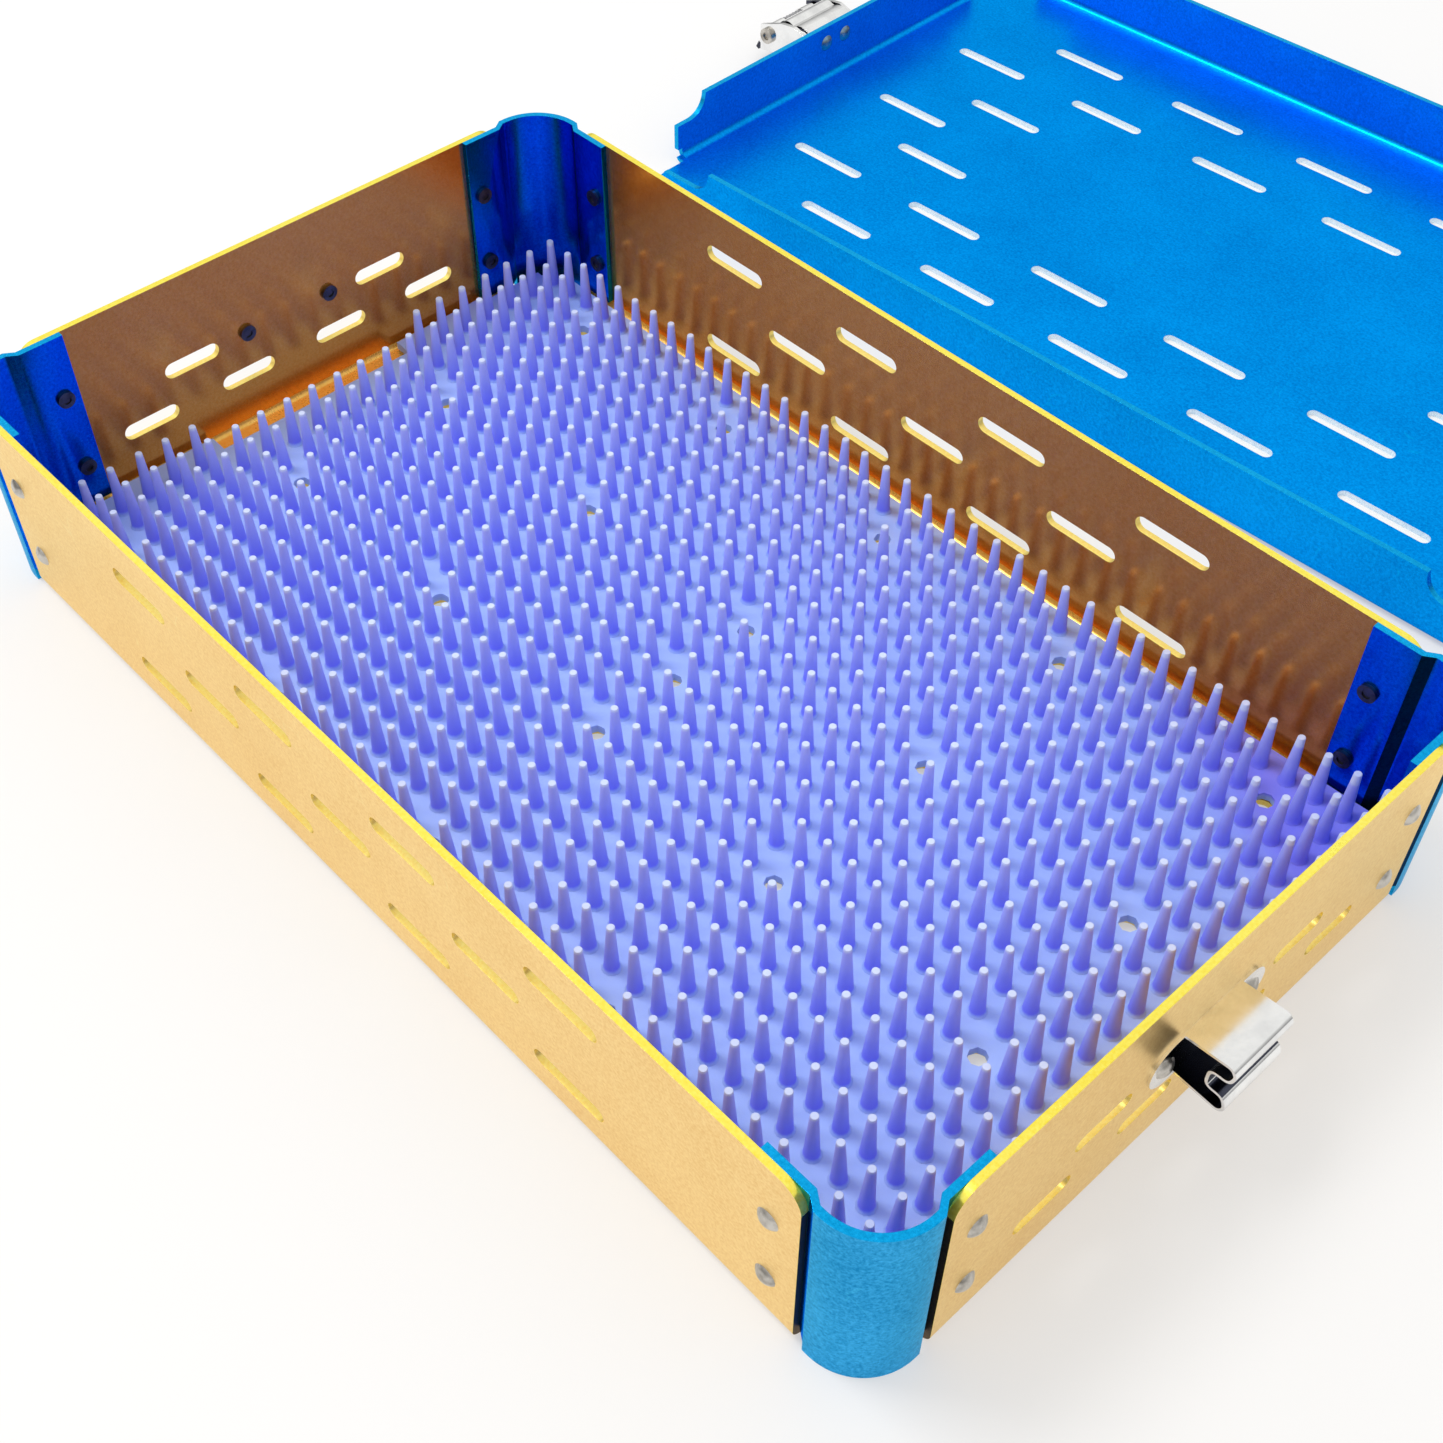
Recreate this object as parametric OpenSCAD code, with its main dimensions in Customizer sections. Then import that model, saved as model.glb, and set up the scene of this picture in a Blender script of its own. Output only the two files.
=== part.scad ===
// Perforated cassette for dental instruments: a folded tray, a finger mat and a lid
// with two spring claws. The lid lies upside down beside the tray.
// The origin is the middle of the tray's underside, +X runs along the tray and +Z is up.

/* [Tray] */
// Outside length of the tray
tray_l = 270; // [240:1:300]
// Outside width of the tray
tray_w = 161; // [150:1:180]
// Height of the tray from its underside to its rim
tray_h = 48; // [46:1:56]
// Thickness of the tray's sheet
tray_sheet = 1.5; // [1.2:0.1:1.8]
// Outer radius of the bend between floor and wall
tray_bend_r = 3; // [2.4:0.1:3.6]
// Distance from the tray's corner to the end of each wall
wall_end = 15.7; // [15.4:0.1:17]
// Radius of the upper corners of each wall
wall_corner_r = 5; // [2:0.5:7]
// Diameter of the drain holes in the floor
drain_d = 5.5; // [4.5:0.1:6]

/* [Wall slots] */
// Length of the slots in the long walls
long_slot_l = 18.5; // [12:0.5:20]
// Height of the slots in the long walls
long_slot_h = 3.9; // [3:0.1:5]
// Step from one slot column to the next in the long walls
long_slot_step = 21.3; // [20.5:0.1:23]
// Height of the middle slot row in the long walls
long_slot_z = 24; // [22:0.5:26]
// Distance between slot rows in the long walls
long_row_gap = 12.7; // [10:0.1:13]
// Length of the slots in the short walls
short_slot_l = 14.3; // [10:0.1:15]
// Height of the slots in the short walls
short_slot_h = 4; // [3:0.1:4.5]
// Step from one slot column to the next in the short walls
short_slot_step = 13.25; // [12.8:0.05:13.6]
// Height of the lower slot row in the short walls
short_slot_z = 15; // [13:0.5:16]
// Distance between slot rows in the short walls
short_row_gap = 10.5; // [9:0.1:11.5]

/* [Corner posts] */
// Outer radius of each corner post
post_r = 12.5; // [12:0.1:13]
// Thickness of the posts' sheet
post_sheet = 1.5; // [1.2:0.1:1.8]
// Distance from the tray's corner to the end of a post's flange
flange_end = 26; // [25:0.5:30]
// Length over which a post steps in behind the wall
joggle_run = 2.2; // [1.8:0.1:2.6]
// Height at which the flanges clear the floor bend
flange_z = 3.2; // [3.2:0.1:5]

/* [Rivets] */
// Diameter of the rivet shanks
rivet_d = 3.2; // [2.4:0.1:3.6]
// Diameter of the domed rivet heads
rivet_head_d = 4.6; // [4.2:0.1:5.2]
// Height of the domed rivet heads
rivet_head_h = 1.1; // [0.6:0.1:1.4]
// Diameter of the formed rivet ends
rivet_tail_d = 4; // [3.8:0.1:4.6]
// Height of the formed rivet ends
rivet_tail_h = 0.8; // [0.5:0.1:0.9]
// Distance from the tray's corner to the corner rivets
corner_rivet_in = 22.4; // [21:0.1:23]
// Height of the lower corner rivets
corner_rivet_z = 13.5; // [10:0.5:15]
// Distance from the lower to the upper corner rivets
corner_rivet_gap = 19.2; // [15:0.1:22]

/* [Keepers] */
// Length of a keeper's back plate
keeper_l = 31; // [29:0.5:34]
// Height of a keeper's back plate
keeper_h = 11.5; // [10:0.5:12]
// Thickness of the keeper's sheet
keeper_sheet = 0.6; // [0.5:0.1:1]
// Height of the keeper's middle above the table
keeper_z = 26; // [24:0.5:28]
// Distance from the keeper's middle to each of its rivets
keeper_rivet_out = 11.5; // [11:0.1:12.5]
// Width of the keeper's catch
catch_w = 15.6; // [12:0.1:16]
// Reach of the catch's two lobes from the wall
catch_out = 11; // [10:0.1:12]
// Rise of the catch's plates from the wall out to the lobes
catch_rise = 0.9; // [0:0.1:1.5]
// Depth of the groove between the lobes
groove_d = 4.4; // [3:0.1:5]
// Height of the groove between the lobes
groove_h = 3.8; // [3:0.1:4.4]

/* [Finger mat] */
// Clearance between the mat's ends and the bends under the short walls
mat_end_clear = 0.1; // [0.1:0.1:2]
// Clearance between the mat and the rivets and posts
mat_clear = 0.3; // [0.3:0.1:2]
// Thickness of the mat's backing
mat_t = 2; // [1.6:0.1:3]
// Depth to which the fingers' roots reach into the backing
finger_root_depth = 0.4; // [0.3:0.1:0.6]
// Depth of the finger grips in the mat's ends
mat_grip_d = 4; // [2:0.5:6]
// Length of the finger grips in the mat's ends
mat_grip_l = 53; // [40:1:60]
// Height of the fingers above the backing
finger_h = 13; // [8:0.5:16]
// Width of a finger at its root
finger_root = 3.2; // [2.4:0.1:3.6]
// Width of a finger at its tip
finger_tip = 1.8; // [1:0.1:2.4]
// Step from finger to finger along the mat
finger_step_x = 10.506; // [10.3:0.001:10.6]
// Step from finger to finger across the mat
finger_step_y = 7.1; // [6.8:0.01:7.2]
// Most fingers along the mat from its middle to each end
fingers_x = 12; // [8:1:14]
// Most fingers across the mat from its middle to each side
fingers_y = 10; // [6:1:12]
// Diameter of the drain holes through the mat
mat_hole_d = 4; // [3:0.1:4.4]
// Shift of the finger pattern along the tray
mat_shift_x = 0.5; // [-0.6:0.1:0.6]
// Shift of the finger pattern across the tray
mat_shift_y = 0.8; // [-0.8:0.1:0.8]

/* [Lid] */
// Clearance between the tray's walls and the lid's flanges
lid_clear = 2; // [1.5:0.1:3]
// Thickness of the lid's sheet
lid_sheet = 1.5; // [1.2:0.1:1.8]
// Depth of the lid from its panel to its free edge
lid_h = 17.4; // [16.8:0.2:20]
// Outer radius of the bend between panel and flange
lid_bend_r = 3.5; // [2.6:0.1:4]
// Distance from the lid's corner to the end of each long flange
lid_end_long = 14.5; // [13:0.5:18]
// Distance from the lid's corner to the end of each short flange
lid_end_short = 18.3; // [16:0.1:20]
// Length of the low part at each end of a flange, with its curve
lid_step_l = 16.7; // [12:0.1:20]
// Length of the low part at each end of a short flange, with its curve
lid_step_short = 11; // [9:0.1:14]
// Drop from the flange's free edge to its low part, in a quarter circle
lid_step_h = 6.1; // [4:0.1:7]
// Height of the relief notches beside the flange bends
lid_notch_h = 4; // [3.6:0.1:5]
// Width of the relief notches beside the flange bends
lid_notch_w = 1.5; // [0.5:0.1:2]
// Corner radius of the lid's panel
lid_corner_r = 8; // [4:0.5:12]
// Length of the slots in the lid
lid_slot_l = 24; // [18:0.5:28]
// Width of the slots in the lid
lid_slot_w = 3.4; // [3:0.1:5]
// Step from one slot column to the next in the lid
lid_slot_step = 21.25; // [20:0.05:22]
// Distance from the lid's middle to its first pair of slot rows
lid_row_first = 16.5; // [14:0.5:18]
// Step from one slot row to the next in the lid
lid_row_step = 20.25; // [17:0.05:21]
// Place of the lid's middle along the tray
lid_x = -14.9; // [-40:0.1:40]
// Place of the lid's middle across the tray
lid_y = 209.7; // [200:0.1:260]
// Turn of the lid against the tray in degrees
lid_turn = 2.65; // [0:0.05:3]

/* [Latches] */
// Thickness of the latch's sheet
latch_sheet = 1.2; // [1:0.1:1.4]
// Outer width of a latch bracket over its ears
bracket_w = 21.2; // [20:0.1:24]
// Height of the bracket's lower edge above the panel's outer face
bracket_z = 4.2; // [4:0.1:5]
// Height of the bracket's back plate
bracket_h = 10.8; // [10:0.1:11]
// Distance from the latch's middle to each of its rivets
latch_rivet_out = 4; // [3.6:0.1:5]
// Height of the latch's rivets above the panel's outer face
latch_rivet_z = 12.3; // [11:0.1:12.6]
// Height of a bracket's ears above the pin
ear_rise = 6.1; // [5.8:0.1:6.6]
// Depth of a bracket's ears below the pin
ear_drop = 5.6; // [5:0.1:6]
// Reach of a bracket's ears past the pin
ear_reach = 3.2; // [2.6:0.1:4]
// Distance of the latch's pin from the lid's flange
pin_out = 15.9; // [15:0.1:17]
// Height of the latch's pin above the panel's outer face
pin_z = 10.7; // [10.5:0.1:11.5]
// Diameter of the latch's pin
pin_d = 3; // [2.4:0.1:3.2]
// Diameter of the pin's domed heads
pin_head_d = 4.6; // [4:0.1:5]
// Height of the pin's domed heads
pin_head_h = 1; // [0.6:0.1:1.2]
// Gap between the claw lever and each ear
lever_gap = 0.6; // [0.3:0.1:1]
// Height of the claw arm above the pin
claw_rise = 5.7; // [5.5:0.1:6.2]
// Gap between the end of the claw arm and the bracket's back plate
claw_gap = 0.3; // [0.3:0.1:1]
// Reach of the thumb tab from the pin
tab_reach = 9.7; // [8:0.1:9.8]
// Wire diameter of the claw's spring
spring_wire = 0.8; // [0.6:0.1:0.9]
// Number of turns of the claw's spring
spring_turns = 4; // [2:1:5]
// Gap between the spring's turns
spring_gap = 0.5; // [0.45:0.05:0.6]

/* [Hidden] */
$fn = 48;
// Running clearance round each pin and rivet
fit = 0.05;
// Overlap that makes a cut run past a face
cut = 1;
long_wall = tray_l - 2 * wall_end;
short_wall = tray_w - 2 * wall_end;
lid_l = tray_l + 2 * lid_clear + 2 * lid_sheet;
lid_w = tray_w + 2 * lid_clear + 2 * lid_sheet;
// Distance from the tray's corner to the start of a post's step behind the wall
joggle = wall_end - joggle_run;
// Distance from the tray's outer face to the mat where rivets and posts stand in its way
mat_in = tray_sheet + post_sheet + rivet_tail_h + mat_clear;
mat_l = tray_l - 2 * tray_bend_r - 2 * mat_end_clear;
mat_w = tray_w - 2 * mat_in;
mat_z = tray_sheet;
mat_top = mat_z + mat_t;
// Drain holes take the place of every fifth finger along the mat and every sixth across it
drain_step_x = 5 * finger_step_x;
drain_step_y = 6 * finger_step_y;
drain_places = concat([[0, 0]],
    [for (i = [-2:2], j = [-1.5:1:1.5]) [i * drain_step_x, j * drain_step_y]]);
lever_w = bracket_w - 2 * latch_sheet - 2 * lever_gap;
spring_r = pin_d / 2 + fit + 0.25 + spring_wire / 2;
spring_pitch = spring_wire + spring_gap;
// Half the width and the radius of the window that the spring fills in the lever
window_w = spring_turns * spring_pitch / 2 + 1.2;
window_r = spring_r + spring_wire + 1.4;

// Outline of a slot with round ends, centred
module slot_outline(l, h) {
    square([l - h, h], center = true);
    for (side = [-1, 1])
        translate([side * (l - h) / 2, 0])
            circle(d = h);
}

// Outline of a plate with round corners, centred
module round_plate(l, w, r) {
    square([l - 2 * r, w], center = true);
    square([l, w - 2 * r], center = true);
    for (sx = [-1, 1], sy = [-1, 1])
        translate([sx * (l / 2 - r), sy * (w / 2 - r)])
            circle(r);
}

// Outline of a trough whose two lower corners are round
module trough_outline(w, h, r) {
    translate([-w / 2, r])
        square([w, h - r]);
    translate([r - w / 2, 0])
        square([w - 2 * r, h / 2]);
    for (side = [-1, 1])
        translate([side * (w / 2 - r), r])
            circle(r);
}

// Cross-section of a sheet that is folded up along two sides
module folded_outline(w, h, t, r) {
    difference() {
        trough_outline(w, h, r);
        translate([0, t])
            trough_outline(w - 2 * t, h, r - t);
    }
}

// A line whose inner corners are replaced by curves that start at most r before them
bend_steps = 4;
function bent_line(points, r) = concat([points[0]],
    [for (i = [1:len(points) - 2])
        let (before = points[i - 1] - points[i],
            after = points[i + 1] - points[i],
            reach = min(r, norm(before) * 0.45, norm(after) * 0.45),
            from = points[i] + before / norm(before) * reach,
            to = points[i] + after / norm(after) * reach)
        for (k = [0:bend_steps])
            let (t = k / bend_steps)
            (1 - t) * (1 - t) * from + 2 * t * (1 - t) * points[i] + t * t * to],
    [points[len(points) - 1]]);
function left_of(v) = [-v.y, v.x] / norm(v);
// The line moved sideways by d, with its corners mitred
function beside(line, d) =
    [for (i = [0:len(line) - 1])
        let (n1 = left_of(line[max(i, 1)] - line[max(i, 1) - 1]),
            last = min(i, len(line) - 2),
            n2 = left_of(line[last + 1] - line[last]))
        line[i] + d * (n1 + n2) / (1 + n1 * n2)];
// Outline of a sheet of thickness t that follows a line
module strip_outline(line, t) {
    other = beside(line, -t / 2);
    polygon(concat(beside(line, t / 2), [for (i = [len(line) - 1:-1:0]) other[i]]));
}

// Turns an outline into a bar of length l along X, with the outline's up as +Z
module bar_x(l) {
    rotate([90, 0, 90])
        translate([0, 0, -l / 2])
            linear_extrude(l)
                children();
}

// Turns an outline into a bar of length l along Y, with the outline's up as +Z
module bar_y(l) {
    rotate([90, 0, 0])
        translate([0, 0, -l / 2])
            linear_extrude(l)
                children();
}

// Corner piece that a cut takes away to leave a round corner at the origin's upper right
module corner_waste(r) {
    translate([-r, -r])
        difference() {
            square(r + cut);
            circle(r);
        }
}

// Round domed rivet: the head stands on z = 0 and the shank goes down through the grip
module rivet(grip, shank_d, head_d, head_h, tail_d, tail_h) {
    dome_r = (head_d * head_d / 4 + head_h * head_h) / (2 * head_h);
    rotate_extrude()
        intersection() {
            translate([0, head_h - dome_r])
                circle(dome_r);
            square([head_d / 2, head_h]);
        }
    translate([0, 0, -grip])
        cylinder(d = shank_d, h = grip);
    difference() {
        translate([0, 0, -grip - tail_h])
            cylinder(d = tail_d, h = tail_h);
        translate([0, 0, -grip - tail_h - cut])
            cylinder(d = tail_d / 2, h = tail_h + cut / 2);
    }
}

// Places children in one corner of the tray, by the signs of its x and y
module in_corner(sx, sy) {
    mirror([sx < 0 ? 1 : 0, 0, 0])
        mirror([0, sy < 0 ? 1 : 0, 0])
            children();
}

// Heights of the corner rivets
corner_rivet_heights = [corner_rivet_z, corner_rivet_z + corner_rivet_gap];

// All holes that the corner rivets need, through both pairs of walls
module corner_rivet_holes() {
    for (side = [-1, 1], z = corner_rivet_heights) {
        bar_y(tray_w + 2 * cut)
            translate([side * (tray_l / 2 - corner_rivet_in), z])
                circle(d = rivet_d + 2 * fit);
        bar_x(tray_l + 2 * cut)
            translate([side * (tray_w / 2 - corner_rivet_in), z])
                circle(d = rivet_d + 2 * fit);
    }
}

module long_wall_cuts() {
    for (row = [-1, 1], column = [-3:2:3])
        translate([column * long_slot_step, long_slot_z + row * long_row_gap])
            slot_outline(long_slot_l, long_slot_h);
    for (column = [-2:2:2])
        translate([column * long_slot_step, long_slot_z])
            slot_outline(long_slot_l, long_slot_h);
    for (side = [0, 1])
        mirror([side, 0])
            translate([long_wall / 2, tray_h])
                corner_waste(wall_corner_r);
}

module short_wall_cuts() {
    for (column = [-3:2:3])
        translate([column * short_slot_step, short_slot_z])
            slot_outline(short_slot_l, short_slot_h);
    for (side = [-1, 1]) {
        translate([side * 2 * short_slot_step, short_slot_z + short_row_gap])
            slot_outline(short_slot_l, short_slot_h);
        translate([side * keeper_rivet_out, keeper_z])
            circle(d = rivet_d + 2 * fit);
    }
    for (side = [0, 1])
        mirror([side, 0])
            translate([short_wall / 2, tray_h])
                corner_waste(wall_corner_r);
}

module tray() {
    color("gold")
        difference() {
            union() {
                bar_x(long_wall)
                    folded_outline(tray_w, tray_h, tray_sheet, tray_bend_r);
                bar_y(short_wall)
                    folded_outline(tray_l, tray_h, tray_sheet, tray_bend_r);
                linear_extrude(tray_sheet)
                    round_plate(tray_l - 2 * tray_bend_r, tray_w - 2 * tray_bend_r,
                        post_r - tray_bend_r);
            }
            bar_y(tray_w + 2 * cut)
                long_wall_cuts();
            bar_x(tray_l + 2 * cut)
                short_wall_cuts();
            corner_rivet_holes();
            translate([mat_shift_x, mat_shift_y, -cut])
                linear_extrude(tray_sheet + 2 * cut)
                    for (place = drain_places)
                        translate(place)
                            circle(d = drain_d);
        }
}

// Plan of a post's round part, in the corner of positive x and y
module post_round_outline() {
    intersection() {
        difference() {
            round_plate(tray_l, tray_w, post_r);
            round_plate(tray_l - 2 * post_sheet, tray_w - 2 * post_sheet, post_r - post_sheet);
        }
        translate([tray_l / 2 - joggle, tray_w / 2 - joggle])
            square(joggle + cut);
    }
}

// Plan of the flange that runs in the direction of x, seen from the post's outer corner
module post_flange_outline() {
    root = (joggle + post_r) / 2;
    inner = tray_sheet + post_sheet;
    polygon([[-root, 0], [-joggle, 0], [-wall_end, -tray_sheet], [-flange_end, -tray_sheet],
        [-flange_end, -inner], [-wall_end, -inner], [-joggle, -post_sheet],
        [-root, -post_sheet]]);
}

module post(sx, sy) {
    color("royalblue")
        in_corner(sx, sy)
            difference() {
                union() {
                    linear_extrude(tray_h)
                        post_round_outline();
                    translate([tray_l / 2, tray_w / 2, flange_z])
                        linear_extrude(tray_h - flange_z) {
                            post_flange_outline();
                            mirror([1, -1])
                                post_flange_outline();
                        }
                }
                corner_rivet_holes();
            }
}

// The four rivets of one corner, each in its own hole
module corner_rivets(sx, sy) {
    color("silver")
        in_corner(sx, sy)
            for (z = corner_rivet_heights) {
                translate([tray_l / 2 - corner_rivet_in, tray_w / 2, z])
                    rotate([-90, 0, 0])
                        plain_rivet(tray_sheet + post_sheet);
                translate([tray_l / 2, tray_w / 2 - corner_rivet_in, z])
                    rotate([0, 90, 0])
                        plain_rivet(tray_sheet + post_sheet);
            }
}

module plain_rivet(grip) {
    rivet(grip, rivet_d, rivet_head_d, rivet_head_h, rivet_tail_d, rivet_tail_h);
}

// Middle line of the keeper's catch, from the wall out, round both lobes and back
catch_bend_r = 1.4;
function catch_line() =
    let (half = keeper_sheet / 2,
        out = catch_out - half,
        deep = out - groove_d,
        groove = groove_h / 2 + half,
        root = keeper_h / 2 - half,
        top = root + catch_rise)
    bent_line([[half, root], [out - 1, top], [out + 0.1, top - catch_bend_r],
        [out - 0.6, groove + 0.2], [deep, groove], [deep, -groove], [out - 0.8, -groove - 0.1],
        [out + 0.1, catch_bend_r - top], [out - 1, -top], [half, -root]],
        catch_bend_r);

module keeper(sx) {
    color("gainsboro")
        in_corner(sx, 1)
            difference() {
                union() {
                    translate([tray_l / 2 + keeper_sheet / 2, 0, keeper_z])
                        bar_x(keeper_sheet)
                            slot_outline(keeper_l, keeper_h);
                    translate([tray_l / 2, 0, keeper_z])
                        bar_y(catch_w)
                            strip_outline(catch_line(), keeper_sheet);
                }
                translate([tray_l / 2, 0, keeper_z])
                    bar_x(4 * keeper_sheet)
                        for (side = [-1, 1])
                            translate([side * keeper_rivet_out, 0])
                                circle(d = rivet_d + 2 * fit);
            }
}

module keeper_rivets(sx) {
    color("silver")
        in_corner(sx, 1)
            for (side = [-1, 1])
                translate([tray_l / 2 + keeper_sheet, side * keeper_rivet_out, keeper_z])
                    rotate([0, 90, 0])
                        plain_rivet(tray_sheet + keeper_sheet);
}

// Plan of the mat: reliefs at the corners, finger grips in the ends, drain holes
mat_corner_l = tray_l - 2 * mat_in;
mat_corner_r = post_r - mat_in;
module mat_outline() {
    difference() {
        union() {
            round_plate(mat_corner_l, mat_w, mat_corner_r);
            square([mat_l, tray_w - 2 * flange_end - 2 * mat_clear], center = true);
        }
        for (side = [-1, 1])
            translate([side * mat_l / 2, 0])
                round_plate(2 * mat_grip_d, mat_grip_l, 2);
        translate([mat_shift_x, mat_shift_y])
            for (place = drain_places)
                translate(place)
                    circle(d = mat_hole_d);
    }
}

// Outer corner of a finger's root, as far out as the pattern's shift can bring it
function finger_reach(place) =
    [abs(place.x) + abs(mat_shift_x), abs(place.y) + abs(mat_shift_y)]
        + [finger_root, finger_root] / 2;
// Whether a reach lies on the backing, and whether it lies in a finger grip
function on_backing(reach) =
    let (past = reach - [mat_corner_l, mat_w] / 2 + [mat_corner_r, mat_corner_r])
    norm([max(past.x, 0), max(past.y, 0)]) < mat_corner_r;
function in_grip(reach) = reach.x > mat_l / 2 - mat_grip_d && reach.y - finger_root < mat_grip_l / 2;
// Places of the fingers: a regular lattice without those at the drains and the finger grips
finger_places = [for (i = [-fingers_x:fingers_x], j = [-fingers_y:fingers_y])
    let (place = [i * finger_step_x, j * finger_step_y], reach = finger_reach(place))
    if (min([for (drain = drain_places) norm(drain - place)]) > mat_hole_d / 2
        && on_backing(reach) && !in_grip(reach))
        place];
// Four corners of a square of width w round a place, at height z
function square_points(place, w, z) =
    [for (c = [[-1, -1], [1, -1], [1, 1], [-1, 1]])
        [place.x + c.x * w / 2, place.y + c.y * w / 2, z]];
// Triangles of one finger whose eight points start at number first
finger_sides = [for (k = [0:3])
    let (next = (k + 1) % 4)
    for (side = [[k, k + 4, next + 4], [k, next + 4, next]]) side];
finger_ends = [[0, 1, 2], [0, 2, 3], [6, 5, 4], [7, 6, 4]];
function finger_faces(first) =
    [for (face = concat(finger_sides, finger_ends)) [for (v = face) first + v]];

module finger_mat() {
    color("mediumpurple") {
        translate([0, 0, mat_z])
            linear_extrude(mat_t)
                mat_outline();
        translate([mat_shift_x, mat_shift_y, 0])
            polyhedron(
                [for (place = finger_places)
                    for (p = concat(square_points(place, finger_root, mat_top - finger_root_depth),
                        square_points(place, finger_tip, mat_top + finger_h))) p],
                [for (k = [0:len(finger_places) - 1]) for (face = finger_faces(8 * k)) face]);
    }
}

// Places children in the frame of the lid, whose panel lies on the table
module in_lid() {
    translate([lid_x, lid_y, 0])
        rotate([0, 0, lid_turn])
            children();
}

// Waste of the stepped free edge and relief notches at both ends of a flange
module flange_waste(half, step_l) {
    for (side = [0, 1])
        mirror([side, 0]) {
            translate([half - step_l + lid_step_h, lid_h])
                circle(lid_step_h);
            translate([half - step_l + lid_step_h, lid_h - lid_step_h])
                square([step_l, lid_step_h + cut]);
            translate([half - lid_notch_w, lid_sheet])
                square([lid_notch_w + cut, lid_notch_h - lid_sheet]);
        }
}

// Slot rows of the lid: distance from the middle, first column and last column
lid_slot_rows = [[lid_row_first + 2 * lid_row_step, 0, 4], [lid_row_first + lid_row_step, 1, 5],
    [lid_row_first, 4, 4], [0, 5, 5]];

module lid_slots() {
    for (row = lid_slot_rows, column = [row[1]:2:row[2]], sx = [-1, 1], sy = [-1, 1])
        translate([sx * column * lid_slot_step, sy * row[0]])
            slot_outline(lid_slot_l, lid_slot_w);
}

module lid() {
    long_flange = lid_l - 2 * lid_end_long;
    short_flange = lid_w - 2 * lid_end_short;
    color("dodgerblue")
        in_lid()
            difference() {
                union() {
                    difference() {
                        bar_x(long_flange)
                            folded_outline(lid_w, lid_h, lid_sheet, lid_bend_r);
                        bar_y(lid_w + 2 * cut)
                            flange_waste(long_flange / 2, lid_step_l);
                    }
                    difference() {
                        bar_y(short_flange)
                            folded_outline(lid_l, lid_h, lid_sheet, lid_bend_r);
                        bar_x(lid_l + 2 * cut)
                            flange_waste(short_flange / 2, lid_step_short);
                    }
                    linear_extrude(lid_sheet)
                        round_plate(lid_l - 2 * lid_bend_r, lid_w - 2 * lid_bend_r,
                            lid_corner_r);
                }
                translate([0, 0, -cut])
                    linear_extrude(lid_sheet + 2 * cut)
                        lid_slots();
                bar_x(lid_l + 2 * cut)
                    for (side = [-1, 1])
                        translate([side * latch_rivet_out, latch_rivet_z])
                            circle(d = rivet_d + 2 * fit);
            }
}

// Places children at a latch: x leads out from the flange, y runs along it
module at_latch(side) {
    in_lid()
        mirror([side < 0 ? 1 : 0, 0, 0])
            translate([lid_l / 2, 0, 0])
                children();
}

// Side view of a bracket's ear, from the back plate out past the pin
function ear_points() =
    [[0, bracket_z], [0, bracket_z + bracket_h], [0.37 * pin_out, pin_z + ear_rise],
        [0.67 * pin_out, pin_z + 0.9 * ear_rise], [pin_out + ear_reach, pin_z + 0.38 * ear_rise],
        [pin_out + 0.94 * ear_reach, pin_z - ear_drop],
        [0.82 * pin_out, pin_z - 0.82 * ear_drop]];

module latch_bracket(side) {
    color("lightgray")
        at_latch(side)
            difference() {
                union() {
                    translate([0, -bracket_w / 2, bracket_z])
                        cube([latch_sheet, bracket_w, bracket_h]);
                    for (ear = [-1, 1])
                        translate([0, ear * (bracket_w - latch_sheet) / 2, 0])
                            bar_y(latch_sheet)
                                polygon(ear_points());
                }
                bar_y(bracket_w + 2 * cut)
                    translate([pin_out, pin_z])
                        circle(d = pin_d + 2 * fit);
                bar_x(4 * latch_sheet)
                    for (rivet_side = [-1, 1])
                        translate([rivet_side * latch_rivet_out, latch_rivet_z])
                            circle(d = rivet_d + 2 * fit);
            }
}

module latch_rivets(side) {
    color("silver")
        at_latch(side)
            for (rivet_side = [-1, 1])
                translate([-lid_sheet, rivet_side * latch_rivet_out, latch_rivet_z])
                    rotate([0, -90, 0])
                        plain_rivet(lid_sheet + latch_sheet);
}

module latch_pin(side) {
    color("silver")
        at_latch(side)
            translate([pin_out, bracket_w / 2, pin_z])
                rotate([-90, 0, 0]) {
                    rivet(bracket_w, pin_d, pin_head_d, pin_head_h, pin_head_d, pin_head_h);
                }
}

// Middle lines of the lever's sheet, measured from the pin: the claw arm and the thumb tab
lever_bend_r = latch_sheet;
// Outer radius of the lever's barrel round the pin
barrel_r = pin_d / 2 + fit + latch_sheet;
// Points of the claw arm past the barrel, as shares of its length and height
claw_shape = [[0.32, 0.91], [0.445, 0.98], [0.575, 0.83], [0.735, 0.98], [0.9, 1], [1, 0.88]];
function claw_line() =
    let (claw_l = pin_out - latch_sheet - claw_gap)
    bent_line(concat([[-0.44, 0.62] * barrel_r],
        [for (p = claw_shape) [-p.x * claw_l, p.y * claw_rise]]), lever_bend_r);
function tab_line() = bent_line([[0.69, -0.33] * barrel_r, [0.45, -0.38] * tab_reach,
    [0.62, -0.72] * tab_reach], lever_bend_r);

module claw_lever(side) {
    color("silver")
        at_latch(side)
            translate([pin_out, 0, pin_z])
                difference() {
                    union() {
                        bar_y(lever_w)
                            circle(barrel_r);
                        bar_y(lever_w)
                            strip_outline(claw_line(), latch_sheet);
                        bar_y(lever_w)
                            strip_outline(tab_line(), latch_sheet);
                    }
                    bar_y(lever_w + 2 * cut)
                        circle(d = pin_d + 2 * fit);
                    cube([window_r * 2, window_w * 2, window_r * 2], center = true);
                }
}

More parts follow.
